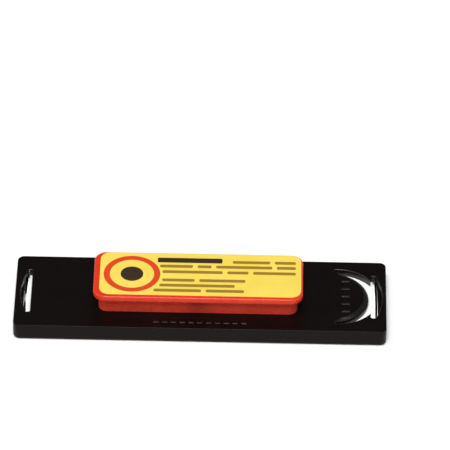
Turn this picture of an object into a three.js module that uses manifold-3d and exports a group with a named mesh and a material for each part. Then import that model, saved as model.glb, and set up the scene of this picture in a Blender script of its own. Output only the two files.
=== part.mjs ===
// A clip-together name badge lying face down, with the magnet that holds it through cloth set on its back.
// Millimetres. The origin is the middle of the front rim's plane, +X runs along the badge, +Z out of its back.

import * as THREE from "three";
import { mergeVertices } from "three/addons/utils/BufferGeometryUtils.js";
import Module from "manifold-3d";

const wasm = await Module();
wasm.setup();

// The insert card, which the badge is made around
const cardWidth = 67;
const cardDepth = 17;
const cardThickness = 0.25;
const cardEndGap = 0.75;
const cardSideGap = 0.25;
const cardPlay = 0.05;

// The housing: a tray that is open at the front
const endBorder = 1.85;
const sideBorder = 1.95;
const backPlate = 1.45;
const cornerRadius = 1.3;
const frontEdgeRound = 0.6;
const backEdgeRound = 0.15;
const openingCornerRadius = 0.45;
const endBow = 0.28;

// The clear window that snaps into the front
const windowRecess = 0.35;
const windowThickness = 1.35;
const windowSidePlay = 0.1;
const windowEndPlay = 0.12;
const windowEndBevel = 0.35;

// The hook at the window's left end and the ledge that it turns on
const hookReach = 0.37;
const hookHalfSpan = 2.6;
const hookThickness = 0.4;
const hookBackSetback = 0.05;
const hookPlay = 0.05;

// The release slots through the back plate, each with a bowed notch on its outer side
const slotLength = 12.8;
const leftSlotWidth = 0.8;
const leftSlotSetback = 0.45;
const rightSlotWidth = 1;
const rightSlotSetback = 0.19;
const notchSag = 1.25;

// The press tongue, and the crescent cut around it, whose circle is set further towards the slot than the tongue's
const tongueRadius = 7.7;
const tongueTipGap = 0.36;
const tongueRootAhead = 1.15;
const tongueCutRadius = 8.3;
const tongueCutAhead = 1.4;

// Raised grip bars on the tongue, and a row of raised marks along the near edge of the back
const reliefHeight = 0.12;
const gripBarLength = 1.7;
const gripBarWidth = 0.45;
const gripBarPitch = 2.3;
const gripBarCount = 5;
const gripBarRootGap = 1.2;
const markLength = 1.1;
const markWidth = 0.5;
const markPitch = 1.7;
const markCount = 11;
const markEdgeGap = 1.6;

// The magnet: a case, the lid whose edge overhangs it, and the label
const magnetX = -0.48;
const caseWidth = 38.6;
const caseDepth = 12;
const caseHeight = 3.35;
const caseCornerRadius = 1.8;
const lidOverhang = 1;
const lidThickness = 1.15;
const lidCornerRadius = 2.4;
const lidTopRound = 0.35;
const lidUnderRound = 0.18;
const labelThickness = 0.1;
const labelCornerRadius = 2;
const labelLeftMargin = 1.16;
const labelRightMargin = 0.36;
const labelNearMargin = 0.8;
const labelFarMargin = 0.36;

// How finely round stretches are faceted
const cornerSteps = 6;
const edgeSteps = 3;
const bowSteps = 8;
const circleSteps = 96;

// Sizes that follow from those above
const openingWidth = cardWidth + 2 * cardEndGap;
const openingDepth = cardDepth + 2 * cardSideGap;
const badgeWidth = openingWidth + 2 * endBorder;
const badgeDepth = openingDepth + 2 * sideBorder;
const windowBack = windowRecess + windowThickness;
const trayFloor = windowBack + cardThickness + 2 * cardPlay;
const badgeBack = trayFloor + backPlate;
const caseTop = badgeBack + caseHeight;
const lidTop = caseTop + lidThickness;
const hookFront = windowBack - hookBackSetback - hookThickness;
const ledgeBack = hookFront - hookPlay;
const tongueSlotOuterX = openingWidth / 2 - rightSlotSetback;
const tongueCentreX = tongueSlotOuterX - rightSlotWidth - tongueTipGap - tongueRadius;
const tongueRootX = tongueCentreX + tongueRootAhead;
const lidWidth = caseWidth + 2 * lidOverhang;
const lidDepth = caseDepth + 2 * lidOverhang;

// How far a cutting body runs past the face that it cuts through
const cutterSlack = 1;

// A closed outline, counter-clockwise from above: a rectangle with round corners and outward bowed short ends.
function outline(width, depth, radius, bow = 0) {
  const points = [];
  const halfWidth = width / 2;
  const halfDepth = depth / 2;
  const reach = (y) => bow * (1 - (y / halfDepth) ** 2);
  const corners = [[1, 1, 0], [-1, 1, 1], [-1, -1, 2], [1, -1, 3]];
  for (const [sideX, sideY, quarter] of corners) {
    for (let i = 0; i <= cornerSteps; i += 1) {
      const angle = (quarter + i / cornerSteps) * (Math.PI / 2);
      const x = sideX * (halfWidth - radius) + radius * Math.cos(angle);
      const y = sideY * (halfDepth - radius) + radius * Math.sin(angle);
      points.push(new THREE.Vector2(x + sideX * reach(y), y));
    }
    const startsEnd = sideX * sideY < 0;
    for (let i = 1; bow > 0 && startsEnd && i < bowSteps; i += 1) {
      const y = sideY * (halfDepth - radius) * (1 - (2 * i) / bowSteps);
      points.push(new THREE.Vector2(sideX * (halfWidth + reach(y)), y));
    }
  }
  return points;
}

// A closed body through outlines of equal point count, one for each level, from the lowest to the highest.
function loft(levels) {
  const count = levels[0].points.length;
  const positions = [];
  const faces = [];
  for (const { points, z } of levels) {
    for (const point of points) positions.push(point.x, point.y, z);
  }
  for (let level = 0; level + 1 < levels.length; level += 1) {
    for (let i = 0; i < count; i += 1) {
      const a = level * count + i;
      const b = level * count + ((i + 1) % count);
      faces.push(a, b, b + count, a, b + count, a + count);
    }
  }
  const top = (levels.length - 1) * count;
  for (const [a, b, c] of THREE.ShapeUtils.triangulateShape(levels[0].points, [])) {
    faces.push(a, c, b);
  }
  for (const [a, b, c] of THREE.ShapeUtils.triangulateShape(levels.at(-1).points, [])) {
    faces.push(top + a, top + b, top + c);
  }
  const geometry = new THREE.BufferGeometry();
  geometry.setAttribute("position", new THREE.Float32BufferAttribute(positions, 3));
  geometry.setIndex(faces);
  return geometry;
}

function solid(geometry) {
  const bare = geometry.clone();
  bare.deleteAttribute("normal");
  bare.deleteAttribute("uv");
  const merged = mergeVertices(bare, 1e-6);
  const vertProperties = new Float32Array(merged.attributes.position.array);
  const triVerts = new Uint32Array(merged.index.array);
  return new wasm.Manifold(new wasm.Mesh({ numProp: 3, vertProperties, triVerts }));
}

function geometryOf(body) {
  const { vertProperties, triVerts } = body.getMesh();
  const geometry = new THREE.BufferGeometry();
  geometry.setAttribute("position", new THREE.BufferAttribute(vertProperties, 3));
  geometry.setIndex(new THREE.BufferAttribute(triVerts, 1));
  geometry.computeVertexNormals();
  return geometry;
}

function prism(points, bottom, top) {
  return solid(loft([{ points, z: bottom }, { points, z: top }]));
}

function box(left, right, near, far, bottom, top) {
  const geometry = new THREE.BoxGeometry(right - left, far - near, top - bottom);
  geometry.translate((left + right) / 2, (near + far) / 2, (bottom + top) / 2);
  return solid(geometry);
}

function disc(x, y, radius, bottom, top) {
  const geometry = new THREE.CylinderGeometry(radius, radius, top - bottom, circleSteps);
  geometry.rotateX(Math.PI / 2);
  geometry.translate(x, y, (bottom + top) / 2);
  return solid(geometry);
}

// The radius of the circle that rises by sag over a chord.
function arcRadius(chord, sag) {
  return (chord ** 2 / 4 + sag ** 2) / (2 * sag);
}

// A body whose top or bottom edges are rounded: the outline shrinks along a quarter circle at each rounded edge.
function roundedPlate(width, depth, radius, bottom, top, bottomRound, topRound) {
  const levels = [];
  const addLevel = (inset, z) => {
    const corner = Math.max(radius - inset, 0.02);
    levels.push({ points: outline(width - 2 * inset, depth - 2 * inset, corner), z });
  };
  for (let i = 0; i <= edgeSteps; i += 1) {
    const angle = (i / edgeSteps) * (Math.PI / 2);
    addLevel(bottomRound * (1 - Math.sin(angle)), bottom + bottomRound * (1 - Math.cos(angle)));
  }
  for (let i = 0; i <= edgeSteps; i += 1) {
    const angle = (i / edgeSteps) * (Math.PI / 2);
    addLevel(topRound * (1 - Math.cos(angle)), top - topRound * (1 - Math.sin(angle)));
  }
  return loft(levels);
}

// A slot through the back plate at the end on the given side, with round ends and its bowed notch.
function slotCutter(side, width, setback) {
  const outerX = openingWidth / 2 - setback;
  const middleX = side * (outerX - width / 2);
  const top = badgeBack + cutterSlack;
  const round = width / 2 - 0.02;
  const slot = prism(outline(width, slotLength, round), trayFloor - cutterSlack, top).translate(middleX, 0, 0);
  const radius = arcRadius(slotLength, notchSag);
  const centreX = side * (outerX + notchSag - radius);
  const bowed = disc(centreX, 0, radius, ledgeBack, top);
  const outside = side * (outerX + 2 * notchSag);
  const inside = side * (outerX - width / 2);
  const keep = box(Math.min(inside, outside), Math.max(inside, outside), -slotLength, slotLength, 0, top);
  return slot.add(bowed.intersect(keep));
}

// The crescent cut that leaves the press tongue standing at its root.
function tongueCutter() {
  const bottom = trayFloor - cutterSlack;
  const top = badgeBack + cutterSlack;
  const outer = disc(tongueCentreX + tongueCutAhead, 0, tongueCutRadius, bottom, top);
  const tongue = disc(tongueCentreX, 0, tongueRadius, bottom, top);
  const keep = box(tongueRootX, tongueSlotOuterX, -tongueCutRadius, tongueCutRadius, bottom, top);
  return outer.subtract(tongue).intersect(keep);
}

// Short raised bars in a row: across the tongue for grip, and along the near edge as plain mould marks.
function relief() {
  const bottom = badgeBack - backPlate / 2;
  const top = badgeBack + reliefHeight;
  const bars = [];
  const left = tongueRootX + gripBarRootGap;
  for (let i = 0; i < gripBarCount; i += 1) {
    const y = (i - (gripBarCount - 1) / 2) * gripBarPitch;
    bars.push(box(left, left + gripBarLength, y - gripBarWidth / 2, y + gripBarWidth / 2, bottom, top));
  }
  const near = -badgeDepth / 2 + markEdgeGap;
  for (let i = 0; i < markCount; i += 1) {
    const x = (i - (markCount - 1) / 2) * markPitch;
    bars.push(box(x - markLength / 2, x + markLength / 2, near, near + markWidth, bottom, top));
  }
  return wasm.Manifold.union(bars);
}

function makeHousing() {
  const blank = roundedPlate(badgeWidth, badgeDepth, cornerRadius, 0, badgeBack, frontEdgeRound, backEdgeRound);
  const opening = outline(openingWidth, openingDepth, openingCornerRadius, endBow);
  const body = solid(blank)
    .subtract(prism(opening, -cutterSlack, trayFloor))
    .subtract(slotCutter(-1, leftSlotWidth, leftSlotSetback))
    .subtract(slotCutter(1, rightSlotWidth, rightSlotSetback))
    .subtract(tongueCutter())
    .add(relief());
  return geometryOf(body);
}

// The window is a bowed plate with bevelled short ends, and the hook is a thin lens-shaped tab on its left end.
function makeWindow() {
  const width = openingWidth - 2 * windowEndPlay;
  const depth = openingDepth - 2 * windowSidePlay;
  const corner = openingCornerRadius;
  const full = outline(width, depth, corner, endBow);
  const shrunk = outline(width - 2 * windowEndBevel, depth, corner, endBow);
  const plate = solid(loft([
    { points: shrunk, z: windowRecess },
    { points: full, z: windowRecess + windowEndBevel },
    { points: full, z: windowBack },
  ]));
  const endX = -width / 2 - endBow;
  const radius = arcRadius(2 * hookHalfSpan, hookReach);
  const lens = disc(endX - hookReach + radius, 0, radius, hookFront, hookFront + hookThickness);
  const keep = box(endX - 2 * hookReach, endX + hookReach, -hookHalfSpan, hookHalfSpan, 0, windowBack);
  return geometryOf(plate.add(lens.intersect(keep)));
}

function makeCard() {
  const geometry = new THREE.BoxGeometry(cardWidth, cardDepth, cardThickness);
  geometry.translate(0, 0, windowBack + cardPlay + cardThickness / 2);
  return geometry;
}

// The magnet's pieces are made about the magnet's own middle line.
function makeCase() {
  const points = outline(caseWidth, caseDepth, caseCornerRadius);
  return loft([{ points, z: badgeBack }, { points, z: caseTop }]);
}

function makeLid() {
  return roundedPlate(lidWidth, lidDepth, lidCornerRadius, caseTop, lidTop, lidUnderRound, lidTopRound);
}

function makeLabel() {
  const width = lidWidth - labelLeftMargin - labelRightMargin;
  const depth = lidDepth - labelNearMargin - labelFarMargin;
  const points = outline(width, depth, labelCornerRadius);
  const geometry = loft([{ points, z: lidTop }, { points, z: lidTop + labelThickness }]);
  geometry.translate((labelLeftMargin - labelRightMargin) / 2, (labelNearMargin - labelFarMargin) / 2, 0);
  return geometry;
}

function material(color, roughness, options = {}) {
  return new THREE.MeshStandardMaterial({ color, roughness, metalness: 0, ...options });
}

function piece(name, geometry, look) {
  const mesh = new THREE.Mesh(geometry, look);
  mesh.name = name;
  if (!geometry.attributes.normal) geometry.computeVertexNormals();
  return mesh;
}

const blackPlastic = material("#151211", 0.45);
const clearPlastic = material("#eef4f4", 0.08, { transparent: true, opacity: 0.35 });
const whiteCard = material("#f6f5f1", 0.7);
const redPlastic = material("#d93a22", 0.3);
const yellowVinyl = material("#f8de5a", 0.35);

const badge = new THREE.Group();
badge.add(piece("housing", makeHousing(), blackPlastic));
badge.add(piece("window", makeWindow(), clearPlastic));
badge.add(piece("name_card", makeCard(), whiteCard));

const magnet = new THREE.Group();
magnet.position.x = magnetX;
magnet.add(piece("magnet_case", makeCase(), redPlastic));
magnet.add(piece("magnet_lid", makeLid(), redPlastic));
magnet.add(piece("label", makeLabel(), yellowVinyl));
badge.add(magnet);

export default badge;
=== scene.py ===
"""A name badge lying face down, with the magnet that holds it through cloth set on its back.

Shapes are worked out in millimetres in the part's own frame, and written to the meshes in metres.
"""
import math

import bmesh
import bpy
import numpy as np
from mathutils import Matrix, Vector
from mathutils.geometry import tessellate_polygon


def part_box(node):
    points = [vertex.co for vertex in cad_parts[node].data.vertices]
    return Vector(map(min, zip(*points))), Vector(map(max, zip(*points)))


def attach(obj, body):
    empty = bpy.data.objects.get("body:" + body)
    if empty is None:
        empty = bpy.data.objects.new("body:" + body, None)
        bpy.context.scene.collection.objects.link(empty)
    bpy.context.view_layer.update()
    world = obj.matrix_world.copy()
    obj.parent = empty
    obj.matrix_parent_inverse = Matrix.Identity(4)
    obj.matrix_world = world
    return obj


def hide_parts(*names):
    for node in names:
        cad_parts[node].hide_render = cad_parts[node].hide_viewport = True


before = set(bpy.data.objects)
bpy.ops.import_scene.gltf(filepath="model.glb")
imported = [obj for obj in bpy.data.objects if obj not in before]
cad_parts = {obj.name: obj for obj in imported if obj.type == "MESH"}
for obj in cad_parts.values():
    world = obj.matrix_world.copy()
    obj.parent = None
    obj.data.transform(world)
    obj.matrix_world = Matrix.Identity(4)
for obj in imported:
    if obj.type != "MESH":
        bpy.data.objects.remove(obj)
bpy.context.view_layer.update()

MM = 0.001


def corners(name):
    """The lowest and highest corner of a CAD node, in millimetres."""
    low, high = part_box(name)
    return np.array(low) / MM, np.array(high) / MM


# What the frame gives
HOUSING_LOW, HOUSING_HIGH = corners("housing")
WINDOW_LOW, WINDOW_HIGH = corners("window")
CARD_LOW, CARD_HIGH = corners("name_card")
CASE_LOW, CASE_HIGH = corners("magnet_case")
LID_LOW, LID_HIGH = corners("magnet_lid")
LABEL_LOW, LABEL_HIGH = corners("label")
BADGE_WIDTH = HOUSING_HIGH[0] - HOUSING_LOW[0]
BADGE_DEPTH = HOUSING_HIGH[1] - HOUSING_LOW[1]
BACK = CASE_LOW[2]

# The housing
CARD_END_GAP = 0.75
CARD_SIDE_GAP = 0.25
CARD_PLAY = 0.05
CORNER_RADIUS = 1.3
FRONT_ROUND = 0.6
BACK_ROUND = 0.15
OPENING_RADIUS = 0.45
OPENING_ROUND = 0.15
END_BOW = 0.28
OPENING_WIDTH = CARD_HIGH[0] - CARD_LOW[0] + 2 * CARD_END_GAP
OPENING_DEPTH = CARD_HIGH[1] - CARD_LOW[1] + 2 * CARD_SIDE_GAP
TRAY_FLOOR = CARD_HIGH[2] + CARD_PLAY

# The window and its hook, and the height of the notches' ledges, of which the hook turns on the left one
WINDOW_BEVEL = 0.35
WINDOW_EDGE = 0.04
WINDOW_END_PLAY = 0.12
WINDOW_SIDE_PLAY = 0.1
HOOK_REACH = 0.37
HOOK_HALF_SPAN = 2.6
HOOK_THICKNESS = 0.4
HOOK_SETBACK = 0.05
HOOK_PLAY = 0.05
HOOK_BACK = WINDOW_HIGH[2] - HOOK_SETBACK
HOOK_FRONT = HOOK_BACK - HOOK_THICKNESS
LEDGE = HOOK_FRONT - HOOK_PLAY

# The release slots, their notches, and the press tongue
SLOT_LENGTH = 12.8
SLOT_CORNER = 0.36
NOTCH_SAG = 1.25
LEFT_SLOT = {"setback": 0.45, "width": 0.8}
RIGHT_SLOT = {"setback": 0.19, "width": 1.0}
HOLE_ROUND = 0.15
TONGUE_RADIUS = 7.7
TONGUE_TIP_GAP = 0.36
TONGUE_ROOT_AHEAD = 1.15
TONGUE_ROUND = 1.0
TONGUE_SWELL = 1.6
CUT_RADIUS = 8.3
CUT_AHEAD = 1.4

# The raised marks: ribs across the tongue, and a row along the near edge
RIB_LENGTH = 1.7
RIB_WIDTH = 0.45
RIB_PITCH = 2.3
RIB_COUNT = 5
RIB_ROOT_GAP = 1.2
MARK_LENGTH = 1.1
MARK_WIDTH = 0.5
MARK_PITCH = 1.7
MARK_COUNT = 11
MARK_EDGE_GAP = 1.6
RELIEF_CORNER = 0.15
RELIEF_ROUND = 0.07
RELIEF_SINK = 0.05

# The card, the magnet and its label
CARD_CORNER = 0.2
CARD_EDGE = 0.02
CASE_CORNER = 1.8
CASE_ROUND = 0.12
LID_CORNER = 2.4
LID_TOP_ROUND = 0.35
LID_UNDER_ROUND = 0.18
LABEL_CORNER = 2.0
LABEL_EDGE = 0.04

# The print. Each line has its middle's y, and the starts and ends of its bars along x.
LABEL_INK = 0.012
CARD_INK = 0.015
INK_SINK = 0.005
INK_ROUND = 0.003
LABEL_INK_LEVELS = (LABEL_HIGH[2] - LABEL_INK - INK_SINK, LABEL_HIGH[2])
CARD_INK_LEVELS = (CARD_LOW[2] - CARD_INK, CARD_LOW[2] + INK_SINK)
ON_LABEL = {"levels": LABEL_INK_LEVELS, "body": "magnet"}
ON_CARD = {"levels": CARD_INK_LEVELS, "body": "housing"}
RING_CENTRE = (-13.4, 0.1)
RING_OUTER = 5.5
RING_INNER = 4.3
DOT_RADIUS = 2.2
TITLE_WIDTH = 1.45
TITLE_BARS = {4.5: [(-8.5, 4.1)]}
LINE_WIDTH = 0.85
LINE_BARS = {
    4.2: [(6.1, 13.4), (14.3, 18.4)],
    2.65: [(-8.0, -1.6), (-0.7, 2.0), (2.9, 13.8), (14.7, 18.4)],
    0.95: [(-7.5, 4.2), (5.1, 9.2), (10.1, 18.4)],
    -1.6: [(-7.5, -1.2), (-0.3, 8.65)],
    -3.2: [(-8.0, 6.6)],
    -4.75: [(-9.1, 0.1), (1.0, 8.4)],
}
LABEL_BAR_CORNER = 0.3
CARD_TITLE_WIDTH = 6.0
CARD_TITLE_CORNER = 0.8
CARD_TITLE_BARS = {-1.7: [(-27.7, -4.6), (-2.2, 27.5)]}
CARD_LINE_WIDTH = 2.0
CARD_LINE_CORNER = 0.4
CARD_LINE_BARS = {4.9: [(-14.7, 3.2), (4.4, 18.1)]}

# How finely round stretches are drawn, which edges stay sharp, and how near two points count as one
CORNER_STEPS = 16
EDGE_STEPS = 6
SMALL_EDGE_STEPS = 4
CARD_EDGE_STEPS = 3
DOT_EDGE_STEPS = 2
LID_EDGE_STEPS = 10
CUT_STEPS = 28
TONGUE_STEPS = 72
RING_STEPS = 96
DOT_STEPS = 64
NOTCH_POINTS = 33
NOTCH_TIP_STEPS = 8
END_STEPS = 6
CROSSING_STEPS = 4000
HOOK_STEPS = 56
HOOK_STEPS_HALF_SPAN = 2.8
WINDOW_END_STEPS = 11
SHARP_ANGLE = 35
SHARPEST_MITRE = 1.2
MERGE_DISTANCE = 0.0002
SHORTEST_EDGE = 0.0001
SAME_Y = 1e-6


def arc(x, y, radius, start, end, steps):
    """Points on a circle about (x, y): x plus radius times the cosine and y plus radius times the sine of an
    angle that goes in even steps from start to end, in degrees."""
    angle = np.radians(np.linspace(start, end, steps + 1))
    return np.column_stack([x + radius * np.cos(angle), y + radius * np.sin(angle)])


def arc_radius(chord, sag):
    """The radius of the circle that rises by sag over a chord: the chord's square over 4, plus the sag's
    square, over twice the sag."""
    return (chord**2 / 4 + sag**2) / (2 * sag)


def outline(width, depth, radius, right=(), left=None):
    """A closed loop, counter-clockwise from above: a rectangle with quarter-circle corners. Its right end has
    a point at each of the given shares of its straight half, and its left end at its own or the same."""
    x, y = width / 2 - radius, depth / 2 - radius
    east = np.asarray(right, float) * y
    west = east if left is None else np.asarray(left, float) * y
    return np.vstack([
        arc(x, -y, radius, -90, 0, CORNER_STEPS),
        np.column_stack([np.full_like(east, width / 2), east]),
        arc(x, y, radius, 0, 90, CORNER_STEPS),
        arc(-x, y, radius, 90, 180, CORNER_STEPS),
        np.column_stack([np.full_like(west, -width / 2), -west]),
        arc(-x, -y, radius, 180, 270, CORNER_STEPS),
    ])


def bow(depth, reach):
    """How far a bowed end stands out at y: reach in the middle, falling with y squared to 0 at the sides."""
    return lambda y: reach * (1 - (2 * y / depth) ** 2)


def bowed(points, left, right):
    """A loop whose left and right ends stand out by left(y) and right(y)."""
    x, y = points.T
    return np.column_stack([x + np.where(x > 0, right(y), -left(y)), y])


def outward(points):
    """At each point of a loop, the step to the right of its direction that moves both edges there by one: the
    sum of the two edges' normals, times 2 over that sum's square, which is kept from 0 at sharp turns."""
    ahead = np.roll(points, -1, 0) - points
    ahead /= np.linalg.norm(ahead, axis=1)[:, None]
    right = np.column_stack([ahead[:, 1], -ahead[:, 0]])
    both = right + np.roll(right, 1, 0)
    return both * 2 / np.maximum((both**2).sum(1), SHARPEST_MITRE)[:, None]


def ring(points, offset, z):
    """A loop moved outward by an offset and set at a height, each of them one number or one for a point."""
    moved = points + outward(points) * np.reshape(offset, (-1, 1))
    return np.column_stack([moved, np.broadcast_to(z, len(points))])


def strip(lower, upper):
    """Quads between two rings of equal count, facing right of their direction when the second is higher."""
    count = len(lower)
    a = np.arange(count)
    b = (a + 1) % count
    return np.vstack([lower, upper]), np.column_stack([a, b, b + count, a + count])


def carried(rings):
    """The strips of a profile that is carried round a loop: one between each ring and the next."""
    return [strip(low, high) for low, high in zip(rings, rings[1:])]


def flat(rings, facing):
    """A flat face inside the first ring and outside the others, facing up for 1 and down for -1."""
    points = np.vstack(rings)
    faces = np.array(tessellate_polygon([[Vector(p) for p in one] for one in rings]))
    a, b, c = (points[faces[:, i], :2] for i in range(3))
    turn = (b[:, 0] - a[:, 0]) * (c[:, 1] - a[:, 1]) - (b[:, 1] - a[:, 1]) * (c[:, 0] - a[:, 0])
    wrong = turn * facing < 0
    faces[wrong] = faces[wrong][:, ::-1]
    return points, faces


def top_edge(points, radius, top, steps=EDGE_STEPS):
    """Rings of a quarter circle that rounds a loop's upper edge: for an angle t from 0 to 90 degrees, inward
    by radius times 1 - cos t, and below the top by radius times 1 - sin t. The radius may vary by point."""
    angles = np.linspace(0, math.pi / 2, steps + 1)
    return [ring(points, radius * (math.cos(t) - 1), top + radius * (math.sin(t) - 1)) for t in angles]


def bottom_edge(points, radius, bottom, steps=EDGE_STEPS):
    """Rings of the like quarter circle at a loop's lower edge, from the bottom up."""
    angles = np.linspace(math.pi / 2, 0, steps + 1)
    return [ring(points, radius * (math.cos(t) - 1), bottom - radius * (math.sin(t) - 1)) for t in angles]


def plate(points, bottom, top, bottom_round, top_round, steps=EDGE_STEPS):
    """A closed body over one loop, with its lower and upper edges rounded."""
    rings = bottom_edge(points, bottom_round, bottom, steps) + top_edge(points, top_round, top, steps)
    return [*carried(rings), flat(rings[:1], -1), flat(rings[-1:], 1)]


def plate_in(low, high, radius, bottom_round, top_round, steps=SMALL_EDGE_STEPS):
    """A plate with round corners that fills the box between two corners."""
    middle = (low + high)[:2] / 2
    points = outline(*(high - low)[:2], radius) + middle
    return plate(points, low[2], high[2], bottom_round, top_round, steps)


def bar(x, y, length, width, corner, levels, edge_round):
    """A plate with round corners and upper edges, centred on (x, y) between two levels."""
    return plate(outline(length, width, corner) + [x, y], *levels, 0, edge_round, SMALL_EDGE_STEPS)


def make_piece(name, parts, material, body, replaces=None, other_parts=(), other_material=None):
    """One mesh object from parts of points and faces in millimetres, with points that coincide merged. The
    other parts wear the other material."""
    main_faces = sum(len(rows) for _, rows in parts)
    parts = [*parts, *other_parts]
    starts = np.cumsum([0] + [len(points) for points, _ in parts])
    vertices = np.vstack([points for points, _ in parts]) * MM
    faces = [face for (_, rows), start in zip(parts, starts) for face in (rows + start).tolist()]
    mesh = bpy.data.meshes.new(name)
    mesh.from_pydata(vertices.tolist(), [], faces)
    mesh.materials.append(material)
    if other_material:
        mesh.materials.append(other_material)
        mesh.polygons.foreach_set("material_index", (np.arange(len(faces)) >= main_faces).astype(np.int32))
    work = bmesh.new()
    work.from_mesh(mesh)
    bmesh.ops.remove_doubles(work, verts=work.verts, dist=MERGE_DISTANCE * MM)
    bmesh.ops.dissolve_degenerate(work, edges=work.edges, dist=SHORTEST_EDGE * MM)
    work.to_mesh(mesh)
    work.free()
    mesh.validate()
    mesh.polygons.foreach_set("use_smooth", np.ones(len(mesh.polygons), bool))
    mesh.set_sharp_from_angle(angle=math.radians(SHARP_ANGLE))
    piece = bpy.data.objects.new(name, mesh)
    bpy.context.scene.collection.objects.link(piece)
    shading = piece.modifiers.new("even shading", "WEIGHTED_NORMAL")
    shading.keep_sharp = True
    shading.weight = 100
    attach(piece, body)
    if replaces:
        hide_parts(replaces)
    return piece


# Housing

OPENING_END = bow(OPENING_DEPTH, END_BOW)


class Slot:
    """One release slot: its outer and inner edges as distances from the middle, and its notch's circle."""

    def __init__(self, setback, width):
        self.outer = OPENING_WIDTH / 2 - setback
        self.inner = self.outer - width
        self.radius = arc_radius(SLOT_LENGTH, NOTCH_SAG)
        self.centre = self.outer + NOTCH_SAG - self.radius

    def notch(self, y):
        """The notch's distance from the middle at y, a circle's, and nothing past the slot's ends."""
        inside = np.abs(y) <= SLOT_LENGTH / 2
        reach = self.centre + np.sqrt(np.maximum(self.radius**2 - y**2, 0))
        return np.where(inside, reach, 0)

    def pocket(self, y):
        """How far the opening's end stands out at y behind the ledge: the larger of bow and notch."""
        return np.maximum(OPENING_END(y), self.notch(y) - OPENING_WIDTH / 2)

    def crossing(self):
        """The y at which the notch's circle passes the opening's bowed end."""
        y = np.linspace(0, SLOT_LENGTH / 2, CROSSING_STEPS + 1)
        past = self.notch(y) - OPENING_WIDTH / 2 - OPENING_END(y)
        return float(np.interp(0, past[::-1], y[::-1]))

    def line(self):
        """The y of each of the notch's points, with one exactly at each crossing."""
        cross = self.crossing()
        tip = np.linspace(cross, SLOT_LENGTH / 2, NOTCH_TIP_STEPS + 1)[1:]
        return np.concatenate([-tip[::-1], np.linspace(-cross, cross, NOTCH_POINTS), tip])

    def shares(self):
        """The shares of the opening's straight half end that have a point: the notch's, and a few more."""
        half = OPENING_DEPTH / 2 - OPENING_RADIUS
        past = np.linspace(SLOT_LENGTH / 2, half, END_STEPS + 1)[1:-1]
        return np.concatenate([-past[::-1], self.line(), past]) / half


LEFT = Slot(**LEFT_SLOT)
RIGHT = Slot(**RIGHT_SLOT)
TONGUE_X = RIGHT.inner - TONGUE_TIP_GAP - TONGUE_RADIUS
ROOT_X = TONGUE_X + TONGUE_ROOT_AHEAD
CUT_X = TONGUE_X + CUT_AHEAD


def angle_at(x, centre, radius):
    """The angle in degrees at which a circle about (centre, 0) reaches x, by the arc cosine."""
    return math.degrees(math.acos((x - centre) / radius))


def crescent():
    """The cut round the press tongue, as rows of points and the rounds of their edges: inwards along the
    outer circle, round the tongue's own, and out again. The round of the tongue's edge grows from its roots
    by t squared times 3 - 2t, where t goes from 0 to 1 over the swell's length."""
    tongue_root = angle_at(ROOT_X, TONGUE_X, TONGUE_RADIUS)
    tongue = arc(TONGUE_X, 0, TONGUE_RADIUS, -tongue_root, tongue_root, TONGUE_STEPS)
    cut_root = angle_at(ROOT_X, CUT_X, CUT_RADIUS)
    meeting = angle_at(RIGHT.inner, CUT_X, CUT_RADIUS)
    cut = arc(CUT_X, 0, CUT_RADIUS, cut_root, meeting, CUT_STEPS)
    swell = np.clip((tongue[:, 0] - ROOT_X) / TONGUE_SWELL, 0, 1)
    soft = HOLE_ROUND + (TONGUE_ROUND - HOLE_ROUND) * swell**2 * (3 - 2 * swell)
    plain = np.full(len(cut), HOLE_ROUND)
    return [cut[::-1] * [1, -1], tongue, cut], [plain, soft, plain]


def slot_hole(slot, side):
    """A slot's hole, clockwise from above, and the round of its edge at each point. It starts on its notch:
    the notch's circle, a round corner, the inner edge and a round corner. On the side of the tongue, 1, the
    inner edge runs into the crescent cut."""
    y = -slot.line()
    x_corner = slot.inner + SLOT_CORNER
    y_corner = SLOT_LENGTH / 2 - SLOT_CORNER
    near = arc(x_corner, -y_corner, SLOT_CORNER, 270, 180, EDGE_STEPS)
    far = arc(x_corner, y_corner, SLOT_CORNER, 180, 90, EDGE_STEPS)
    rows = [np.column_stack([slot.notch(y), y]), near, far]
    edge = [np.full(len(row), HOLE_ROUND) for row in rows]
    if side > 0:
        rows[2:2], edge[2:2] = crescent()
    points, edge = np.vstack(rows), np.concatenate(edge)
    if side < 0:
        points, edge = points[::-1] * [-1, 1], edge[::-1]
        points, edge = np.roll(points, len(y), 0), np.roll(edge, len(y))
    return points, edge


def floor_outline(opening, holes):
    """The tray floor's loop: the opening's, which at each crossing runs into the hole and round it."""
    rows = []
    for side, slot, hole in ((1, RIGHT, holes[1]), (-1, LEFT, holes[0])):
        end = opening[opening[:, 0] * side > 0]
        y = end[:, 1] * side
        cross = slot.crossing()
        notch, rest = np.split(hole, [len(slot.line())])
        notch_y = notch[:, 1] * side
        into = notch[notch_y < -cross + SAME_Y]
        back = notch[notch_y > cross - SAME_Y]
        rows += [end[y < -cross - SAME_Y], into, rest, back, end[y > cross + SAME_Y]]
    points = np.vstack(rows)
    return np.column_stack([points, np.full(len(points), TRAY_FLOOR)])


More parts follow.
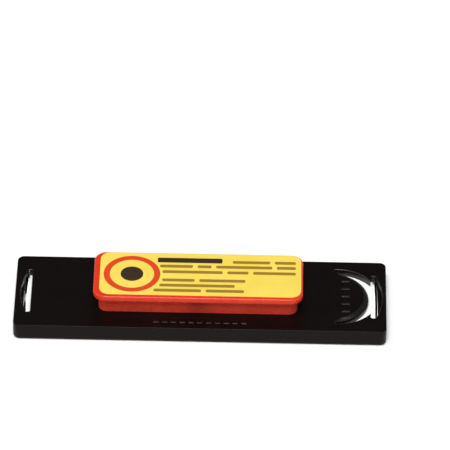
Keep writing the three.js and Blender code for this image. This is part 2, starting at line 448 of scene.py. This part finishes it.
def make_housing(material, smooth_material):
    """The tray, from profiles carried round loops: the outer wall with its rounded edges, the inner wall with
    a round lip and a step at the ledge, and each hole's wall with its rounded edge. Flat faces close the
    back, the front rim and the tray's floor. Every part shares its border points with the next, so the whole
    is closed."""
    outer = outline(BADGE_WIDTH, BADGE_DEPTH, CORNER_RADIUS, RIGHT.shares())
    straight = outline(OPENING_WIDTH, OPENING_DEPTH, OPENING_RADIUS, RIGHT.shares(), LEFT.shares())
    opening = bowed(straight, OPENING_END, OPENING_END)
    inner = opening[::-1]
    pocket = bowed(straight, LEFT.pocket, RIGHT.pocket)[::-1]
    outer_wall = bottom_edge(outer, FRONT_ROUND, 0) + top_edge(outer, BACK_ROUND, BACK)
    inner_wall = [
        *bottom_edge(inner, OPENING_ROUND, 0),
        ring(inner, 0, LEDGE),
        ring(pocket, 0, LEDGE),
        ring(pocket, 0, TRAY_FLOOR),
    ]
    holes = [slot_hole(LEFT, -1), slot_hole(RIGHT, 1)]
    hole_walls = [[ring(points, 0, TRAY_FLOOR), *top_edge(points, edge, BACK)] for points, edge in holes]
    parts = [
        *carried(outer_wall),
        flat([outer_wall[-1], *(rings[-1] for rings in hole_walls)], 1),
        *carried(inner_wall),
        strip(inner_wall[0][::-1], outer_wall[0]),
        flat([floor_outline(opening, [points for points, _ in holes])], -1),
    ]
    cuts = [part for rings in hole_walls for part in carried(rings)]
    make_piece("badge_housing", parts, material, "housing", "housing", cuts, smooth_material)


def make_raised_marks(material):
    """Short ribs across the press tongue, and a row of short marks along the near edge, each row centred."""
    rib_x = ROOT_X + RIB_ROOT_GAP + RIB_LENGTH / 2
    rib_ys = (np.arange(RIB_COUNT) - (RIB_COUNT - 1) / 2) * RIB_PITCH
    mark_y = HOUSING_LOW[1] + MARK_EDGE_GAP + MARK_WIDTH / 2
    mark_xs = (np.arange(MARK_COUNT) - (MARK_COUNT - 1) / 2) * MARK_PITCH
    places = [(rib_x, y, RIB_LENGTH, RIB_WIDTH) for y in rib_ys]
    places += [(x, mark_y, MARK_LENGTH, MARK_WIDTH) for x in mark_xs]
    levels = (BACK - RELIEF_SINK, HOUSING_HIGH[2])
    parts = [part for place in places for part in bar(*place, RELIEF_CORNER, levels, RELIEF_ROUND)]
    make_piece("raised_marks", parts, material, "housing")


# Window and card

def make_window(material):
    """A bowed plate whose short ends are bevelled at the front, carried up through rings, with a thin hook on
    its left end that stands out as a circle's segment. It casts no shadow, so that light falls through it
    onto the table as through real clear plastic."""
    width = OPENING_WIDTH - 2 * WINDOW_END_PLAY
    depth = OPENING_DEPTH - 2 * WINDOW_SIDE_PLAY
    end = bow(depth, END_BOW)
    radius = arc_radius(2 * HOOK_HALF_SPAN, HOOK_REACH)

    def hook(y):
        reach = np.sqrt(radius**2 - np.minimum(np.abs(y), radius) ** 2) - radius + END_BOW + HOOK_REACH
        return np.maximum(end(y), reach)

    half = depth / 2 - OPENING_RADIUS
    fine = HOOK_STEPS_HALF_SPAN / half
    past = np.linspace(fine, 1, WINDOW_END_STEPS + 1)[1:-1]
    shares = np.concatenate([-past[::-1], np.linspace(-fine, fine, HOOK_STEPS + 1), past])
    straight = outline(width, depth, OPENING_RADIUS, shares)
    full = bowed(straight, end, end)
    hooked = bowed(straight, hook, end)
    bevelled = full - np.sign(full) * [WINDOW_BEVEL, 0]
    low, high = WINDOW_LOW[2], WINDOW_HIGH[2]
    rings = [
        ring(bevelled, -WINDOW_EDGE, low),
        ring(bevelled, 0, low + WINDOW_EDGE),
        ring(full, 0, low + WINDOW_BEVEL),
        ring(full, 0, HOOK_FRONT),
        ring(hooked, 0, HOOK_FRONT),
        ring(hooked, 0, HOOK_BACK),
        ring(full, 0, HOOK_BACK),
        ring(full, -WINDOW_EDGE, high),
    ]
    parts = [*carried(rings), flat(rings[:1], -1), flat(rings[-1:], 1)]
    piece = make_piece("clear_window", parts, material, "window", "window")
    piece.visible_shadow = False


def make_card(material):
    """The insert card: a thin plate with barely softened edges."""
    parts = plate_in(CARD_LOW, CARD_HIGH, CARD_CORNER, CARD_EDGE, CARD_EDGE, CARD_EDGE_STEPS)
    make_piece("insert_card", parts, material, "housing", "name_card")


# Magnet

def make_case(material):
    """The magnet's lower body, a plain plate with a small round at its foot."""
    parts = plate_in(CASE_LOW, CASE_HIGH, CASE_CORNER, CASE_ROUND, 0)
    make_piece("red_case", parts, material, "magnet", "magnet_case")


def make_lid(material):
    """The magnet's upper shell: a plate with a generous upper edge and a smaller one beneath."""
    parts = plate_in(LID_LOW, LID_HIGH, LID_CORNER, LID_UNDER_ROUND, LID_TOP_ROUND, LID_EDGE_STEPS)
    make_piece("red_lid", parts, material, "magnet", "magnet_lid")


def make_label(material):
    """The yellow sticker, a thin plate that leaves room for its print under the CAD's top."""
    parts = plate_in(LABEL_LOW, LABEL_HIGH - [0, 0, LABEL_INK], LABEL_CORNER, 0, LABEL_EDGE)
    make_piece("yellow_label", parts, material, "magnet", "label")


# Print on the label and the card, as plain marks where the lines of print are

def make_label_ring(material):
    """A printed ring on the label: two circles, each with a wall, and flat faces between them."""
    low, high = LABEL_INK_LEVELS
    outer, inner = (arc(*RING_CENTRE, radius, 0, 360, RING_STEPS)[:-1] for radius in (RING_OUTER, RING_INNER))
    walls = [[ring(points, 0, low), ring(points, 0, high)] for points in (outer, inner[::-1])]
    bottoms, tops = zip(*walls)
    parts = [*carried(walls[0]), *carried(walls[1]), flat(bottoms, -1), flat(tops, 1)]
    make_piece("label_ring", parts, material, "magnet")


def make_label_dot(material):
    """A printed disc in the middle of the ring."""
    points = arc(*RING_CENTRE, DOT_RADIUS, 0, 360, DOT_STEPS)[:-1]
    parts = plate(points, *LABEL_INK_LEVELS, 0, INK_ROUND, DOT_EDGE_STEPS)
    make_piece("label_dot", parts, material, "magnet")


def make_bars(name, lines, width, corner, material, levels, body):
    """Printed bars of one width, in the lines given."""
    parts = []
    for y, bars in lines.items():
        for start, end in bars:
            parts += bar((start + end) / 2, y, end - start, width, corner, levels, INK_ROUND)
    make_piece(name, parts, material, body)


# Materials

# The Mix node's sockets for colours, which share their names with its other sockets
MIX_SHARE, MIX_FIRST, MIX_SECOND, MIXED = 0, 6, 7, 2

# The stretches of a noise's values that are drawn out into patches: all, the middle, its heart, and the peaks
NOISE_WHOLE = (0, 1)
NOISE_MIDDLE = (0.3, 0.7)
NOISE_HEART = (0.35, 0.65)
NOISE_PEAKS = (0.76, 0.82)

# The milky root of the window's hook, painted light that stands in for the light the clear hook carries up
# from the table beneath, in millimetres: its centre, its half sizes, and the shares of them between which it
# clears
PAINTED_GLOW_PLACE = Vector((-33.8, -0.1, 1.5))
PAINTED_GLOW_RADII = Vector((0.6, 1.9, 1.5))
PAINTED_GLOW_EDGES = (0.7, 1.1)

# The middle of the magnet's sides, darkened by painted shade that stands in for the deeper shade under the
# lid there, in millimetres
PAINTED_SHADE_X = -0.3
PAINTED_SHADE_REACH = 4.6


def linear(code):
    """An sRGB hex colour as linear values."""
    value = np.array([int(code[i:i + 2], 16) for i in (1, 3, 5)]) / 255
    low = value / 12.92
    high = ((value + 0.055) / 1.055) ** 2.4
    return (*np.where(value <= 0.04045, low, high).tolist(), 1.0)


def add(tree, kind, inputs=None, **settings):
    """A node with its settings, and a link or a value for each named or numbered input."""
    made = tree.nodes.new(kind)
    for key, value in settings.items():
        setattr(made, key, value)
    for key, value in (inputs or {}).items():
        if isinstance(value, bpy.types.NodeSocket):
            tree.links.new(value, made.inputs[key])
        else:
            made.inputs[key].default_value = value
    return made


def new_material(name):
    """An empty material, its tree, and the Object coordinates that its patterns follow."""
    material = bpy.data.materials.new(name)
    material.use_nodes = True
    tree = material.node_tree
    tree.nodes.clear()
    return material, tree, add(tree, "ShaderNodeTexCoord").outputs["Object"]


def surface(material, inputs):
    """The material, with a Principled shader of these inputs as its surface."""
    shader = add(material.node_tree, "ShaderNodeBsdfPrincipled", inputs)
    add(material.node_tree, "ShaderNodeOutputMaterial", {"Surface": shader.outputs[0]})
    return material


def pattern(place, size_mm, detail=2.0, roughness=0.5):
    """What a noise needs for features of about size_mm."""
    return {"Vector": place, "Scale": 1 / (size_mm * MM), "Detail": detail, "Roughness": roughness}


def patches(tree, noise, low, high, edges=NOISE_MIDDLE):
    """A value that goes from low to high over a pattern's patches, as its noise goes from edge to edge."""
    cloud = add(tree, "ShaderNodeTexNoise", noise).outputs["Fac"]
    inputs = {"Value": cloud, "From Min": edges[0], "From Max": edges[1], "To Min": low, "To Max": high}
    return add(tree, "ShaderNodeMapRange", inputs).outputs[0]


def mottled(tree, noise, first, second, edges=NOISE_WHOLE):
    """A colour that goes from one to another over the patches of a pattern."""
    share = patches(tree, noise, 0, 1, edges)
    inputs = {MIX_SHARE: share, MIX_FIRST: linear(first), MIX_SECOND: linear(second)}
    return add(tree, "ShaderNodeMix", inputs, data_type="RGBA").outputs[MIXED]


def relief(tree, noise, depth_mm, under=None):
    """A surface whose pattern stands depth_mm high, on another such surface or none."""
    cloud = add(tree, "ShaderNodeTexNoise", noise).outputs["Fac"]
    inputs = {"Height": cloud, "Distance": depth_mm * MM, "Strength": 1.0}
    if under is not None:
        inputs["Normal"] = under
    return add(tree, "ShaderNodeBump", inputs).outputs[0]


def moulded_black_abs():
    """Black ABS from a spark-eroded mould: a satin, slightly warm black with a fine even grain, a slow ripple
    where the wall sank, and a few pale dust specks. The grain is drawn at 0.35 mm so that it shows."""
    material, tree, place = new_material("moulded_black_abs")
    black = mottled(tree, pattern(place, 6, 3), "#090605", "#0C0807", NOISE_MIDDLE)
    dust = patches(tree, pattern(place, 0.5, 1), 0, 0.5, NOISE_PEAKS)
    specked = {MIX_SHARE: dust, MIX_FIRST: black, MIX_SECOND: linear("#3A3432")}
    grain = relief(tree, pattern(place, 0.35), 0.006)
    return surface(material, {
        "Base Color": add(tree, "ShaderNodeMix", specked, data_type="RGBA").outputs[MIXED],
        "Roughness": patches(tree, pattern(place, 1.4, 4), 0.3, 0.4),
        "Normal": relief(tree, pattern(place, 5), 0.02, grain),
        "IOR": 1.5,
        "Specular IOR Level": 0.13,
        "Specular Tint": linear("#FFEAE6"),
    })


def smooth_black_abs():
    """The same ABS where polished steel shaped the cuts and the raised marks: smoother, so the cuts' walls
    mirror the white card and round edges catch the light."""
    material, tree, place = new_material("smooth_black_abs")
    return surface(material, {
        "Base Color": mottled(tree, pattern(place, 2, 3), "#0A0706", "#0F0B0A"),
        "Roughness": patches(tree, pattern(place, 0.8, 3), 0.24, 0.36),
        "Normal": relief(tree, pattern(place, 0.5), 0.008),
        "IOR": 1.54,
    })


def polished_clear_styrene():
    """Clear polystyrene from a polished mould: water-clear with sharp reflections and a faint ripple. The
    root of the hook is made milky, painted light that stands in for the light the clear hook carries up from
    the table beneath, and reads as a pale spot in the notch. The spot is an ellipsoid: the distance from its
    centre, over its half sizes, says how clear the plastic is."""
    material, tree, place = new_material("polished_clear_styrene")
    offset = add(tree, "ShaderNodeVectorMath", {0: place, 1: PAINTED_GLOW_PLACE * MM}, operation="SUBTRACT")
    share = add(tree, "ShaderNodeVectorMath", {0: offset.outputs[0], 1: PAINTED_GLOW_RADII * MM}, operation="DIVIDE")
    reach = add(tree, "ShaderNodeVectorMath", {0: share.outputs[0]}, operation="LENGTH").outputs["Value"]
    milky, clear = PAINTED_GLOW_EDGES
    clearing = {"Value": reach, "From Min": milky, "From Max": clear, "To Min": 0.55, "To Max": 1}
    return surface(material, {
        "Base Color": mottled(tree, pattern(place, 3), "#FAFFFF", "#FFFFFF"),
        "Roughness": patches(tree, pattern(place, 2, 3), 0.02, 0.06),
        "Normal": relief(tree, pattern(place, 8, 1), 0.01),
        "Transmission Weight": add(tree, "ShaderNodeMapRange", clearing).outputs[0],
        "IOR": 1.59,
    })


def uncoated_card():
    """White printing card: matt, with a fibre mottle so fine that it only softens the white."""
    material, tree, place = new_material("uncoated_card")
    fibre = pattern(place, 0.3, 4, 0.7)
    return surface(material, {
        "Base Color": mottled(tree, fibre, "#F4F3EF", "#FFFFFD"),
        "Roughness": patches(tree, fibre, 0.75, 0.9),
        "Normal": relief(tree, fibre, 0.01),
    })


def moulded_red_styrene(name, thin, thick, painted_shade):
    """Red polystyrene from a polished mould: a warm orange red with a clear gloss, slightly uneven where it
    flowed, and rubbed a little duller in patches. The middle of its sides is darker by the given share:
    painted shade that stands in for the deeper shade under the lid there, falling along x by a smooth step."""
    material, tree, place = new_material(name)
    red = mottled(tree, pattern(place, 5, 3), thin, thick, NOISE_HEART)
    along = add(tree, "ShaderNodeSeparateXYZ", {0: place}).outputs["X"]
    aside = add(tree, "ShaderNodeMath", {0: along, 1: PAINTED_SHADE_X * MM}, operation="SUBTRACT").outputs[0]
    away = add(tree, "ShaderNodeMath", {0: aside}, operation="ABSOLUTE").outputs[0]
    fading = {"Value": away, "From Min": 0, "From Max": PAINTED_SHADE_REACH * MM, "To Min": painted_shade, "To Max": 0}
    middle = add(tree, "ShaderNodeMapRange", fading, interpolation_type="SMOOTHSTEP").outputs[0]
    # Painted shade: the middle of the sides is mixed towards a dark red, standing in for the shade under the
    # lid
    darkened = {MIX_SHARE: middle, MIX_FIRST: red, MIX_SECOND: linear("#5E2B1B")}
    grain = relief(tree, pattern(place, 0.4), 0.003)
    return surface(material, {
        "Base Color": add(tree, "ShaderNodeMix", darkened, data_type="RGBA").outputs[MIXED],
        "Roughness": patches(tree, pattern(place, 2.5, 4), 0.22, 0.32),
        "Normal": relief(tree, pattern(place, 6, 1), 0.008, grain),
        "IOR": 1.59,
        "Specular IOR Level": 0.18,
    })


def printed_yellow_vinyl():
    """Yellow vinyl label: an even warm yellow with a soft gloss and a faint orange peel."""
    material, tree, place = new_material("printed_yellow_vinyl")
    return surface(material, {
        "Base Color": mottled(tree, pattern(place, 7, 3), "#EBD053", "#F1D65E", NOISE_HEART),
        "Roughness": patches(tree, pattern(place, 1.5, 3), 0.34, 0.48),
        "Normal": relief(tree, pattern(place, 0.6), 0.003),
        "IOR": 1.5,
    })


def screen_ink(name, thin, thick):
    """Screen-printed ink: a matt film whose cover varies a little, with a slight tooth."""
    material, tree, place = new_material(name)
    cover = pattern(place, 0.4, 3, 0.6)
    return surface(material, {
        "Base Color": mottled(tree, cover, thin, thick),
        "Roughness": patches(tree, cover, 0.45, 0.6),
        "Normal": relief(tree, cover, 0.002),
    })


def matt_white_table():
    """A matt white table: a soft even white with no gloss, so that nothing is mirrored round the badge."""
    material, tree, place = new_material("matt_white_table")
    return surface(material, {
        "Base Color": linear("#FAFAFA"),
        "Roughness": patches(tree, pattern(place, 40), 0.85, 0.95, NOISE_WHOLE),
        "Specular IOR Level": 0.0,
    })


# The pieces in their materials

black = moulded_black_abs()
smooth_black = smooth_black_abs()
red = moulded_red_styrene("moulded_red_styrene", "#D0341B", "#D93B1F", 0.0)
# The case's red carries painted shade: a darker middle on its sides that stands in for the shade under the
# lid
red_with_painted_shade = moulded_red_styrene("red_styrene_with_painted_shade", "#D03F2F", "#D94533", 0.4)
dark_ink = screen_ink("dark_screen_ink", "#35200F", "#291809")
olive_ink = screen_ink("olive_screen_ink", "#9C7C22", "#8C6E1A")
orange_ink = screen_ink("orange_screen_ink", "#D84412", "#D03A0E")
black_ink = screen_ink("black_printing_ink", "#161414", "#0E0C0C")
grey_ink = screen_ink("grey_printing_ink", "#6E6C6A", "#5C5A58")

make_housing(black, smooth_black)
make_raised_marks(smooth_black)
make_window(polished_clear_styrene())
make_card(uncoated_card())
make_case(red_with_painted_shade)
make_lid(red)
make_label(printed_yellow_vinyl())
make_label_ring(orange_ink)
make_label_dot(dark_ink)
make_bars("label_title", TITLE_BARS, TITLE_WIDTH, LABEL_BAR_CORNER, dark_ink, **ON_LABEL)
make_bars("label_lines", LINE_BARS, LINE_WIDTH, LABEL_BAR_CORNER, olive_ink, **ON_LABEL)
make_bars("card_title", CARD_TITLE_BARS, CARD_TITLE_WIDTH, CARD_TITLE_CORNER, black_ink, **ON_CARD)
make_bars("card_line", CARD_LINE_BARS, CARD_LINE_WIDTH, CARD_LINE_CORNER, grey_ink, **ON_CARD)


# Camera, in the place from which the lower view was taken, with its nearest and farthest sight in metres

PICTURE = 450
ORIGIN_PIXEL = (200.628, 307.558)
PIXELS_PER_MM = 5.125
FOCAL_PIXELS = 4782.19
CAMERA_ELEVATION = 39.464
CAMERA_YAW = -0.776
CAMERA_ROLL = 0.634
SENSOR = 36.0
NEAREST = 0.05
FARTHEST = 20


def make_camera():
    """The camera looks along its own view of the origin, turned so that the origin falls on its pixel."""
    elevation, yaw, roll = (math.radians(a) for a in (CAMERA_ELEVATION, CAMERA_YAW, CAMERA_ROLL))
    out = math.cos(elevation)
    aim = Vector((math.sin(yaw) * out, math.cos(yaw) * out, -math.sin(elevation)))
    level = Vector((math.cos(yaw), -math.sin(yaw), 0))
    above = level.cross(aim)
    across = math.cos(roll) * level + math.sin(roll) * above
    place = -aim * (FOCAL_PIXELS / PIXELS_PER_MM * MM)
    right_by = (PICTURE / 2 - ORIGIN_PIXEL[0]) / FOCAL_PIXELS
    up_by = (ORIGIN_PIXEL[1] - PICTURE / 2) / FOCAL_PIXELS
    ahead = (aim + across * right_by + across.cross(aim) * up_by).normalized()
    across = (across - ahead * across.dot(ahead)).normalized()
    data = bpy.data.cameras.new("camera")
    data.sensor_width = SENSOR
    data.lens = FOCAL_PIXELS / PICTURE * SENSOR
    data.clip_start = NEAREST
    data.clip_end = FARTHEST
    camera = bpy.data.objects.new("camera", data)
    bpy.context.scene.collection.objects.link(camera)
    axes = Matrix((across, across.cross(ahead), -ahead)).transposed()
    camera.matrix_world = Matrix.Translation(place) @ axes.to_4x4()
    bpy.context.scene.camera = camera


# Table and light, in metres

TABLE_HALF_WIDTH = 3.0
LIGHT_DISTANCE = 1.2


def make_table():
    """A wide pale table under the badge, a square on the ground."""
    mesh = bpy.data.meshes.new("floor")
    signs = [(-1, -1), (1, -1), (1, 1), (-1, 1)]
    points = [(x * TABLE_HALF_WIDTH, y * TABLE_HALF_WIDTH, 0) for x, y in signs]
    mesh.from_pydata(points, [], [(0, 1, 2, 3)])
    mesh.materials.append(matt_white_table())
    table = bpy.data.objects.new("floor", mesh)
    bpy.context.scene.collection.objects.link(table)


def hang(data, azimuth, elevation):
    """A light that faces the badge from an azimuth and an elevation in degrees."""
    turn, rise = math.radians(azimuth), math.radians(elevation)
    towards = Vector((math.sin(turn) * math.cos(rise), -math.cos(turn) * math.cos(rise), math.sin(rise)))
    lamp = bpy.data.objects.new(data.name, data)
    bpy.context.scene.collection.objects.link(lamp)
    facing = towards.to_track_quat("Z", "Y").to_matrix().to_4x4()
    lamp.matrix_world = Matrix.Translation(towards * LIGHT_DISTANCE) @ facing


def make_key(azimuth, elevation, width, strength):
    """A far soft source above the camera, width degrees wide, which lights the whole table evenly."""
    data = bpy.data.lights.new("key", "SUN")
    data.angle = math.radians(width)
    data.energy = strength
    hang(data, azimuth, elevation)


def make_softbox(name, azimuth, elevation, width, height, watts):
    """A lit rectangle, its sides in metres."""
    data = bpy.data.lights.new(name, "AREA")
    data.shape = "RECTANGLE"
    data.size = width
    data.size_y = height
    data.energy = watts
    hang(data, azimuth, elevation)


def make_room():
    """A dim room whose walls are pale near the table's level."""
    world = bpy.data.worlds.new("room")
    world.use_nodes = True
    tree = world.node_tree
    direction = add(tree, "ShaderNodeTexCoord").outputs["Generated"]
    height = add(tree, "ShaderNodeSeparateXYZ", {0: direction}).outputs["Z"]
    darkening = {"Value": height, "From Min": 0.03, "From Max": 0.25, "To Min": 0.85, "To Max": 0.12}
    background = tree.nodes["Background"]
    background.inputs["Color"].default_value = linear("#FFFFFF")
    tree.links.new(add(tree, "ShaderNodeMapRange", darkening).outputs[0], background.inputs["Strength"])
    bpy.context.scene.world = world


make_camera()
make_table()
make_key(azimuth=-6, elevation=63, width=24, strength=2.42)
make_softbox("overhead", azimuth=0, elevation=88, width=1.2, height=0.5, watts=4)
make_softbox("left", azimuth=-76, elevation=36, width=0.3, height=0.3, watts=2.8)
make_softbox("right", azimuth=65, elevation=40, width=0.3, height=0.3, watts=0.6)
make_room()
bpy.context.scene.view_settings.view_transform = "Standard"
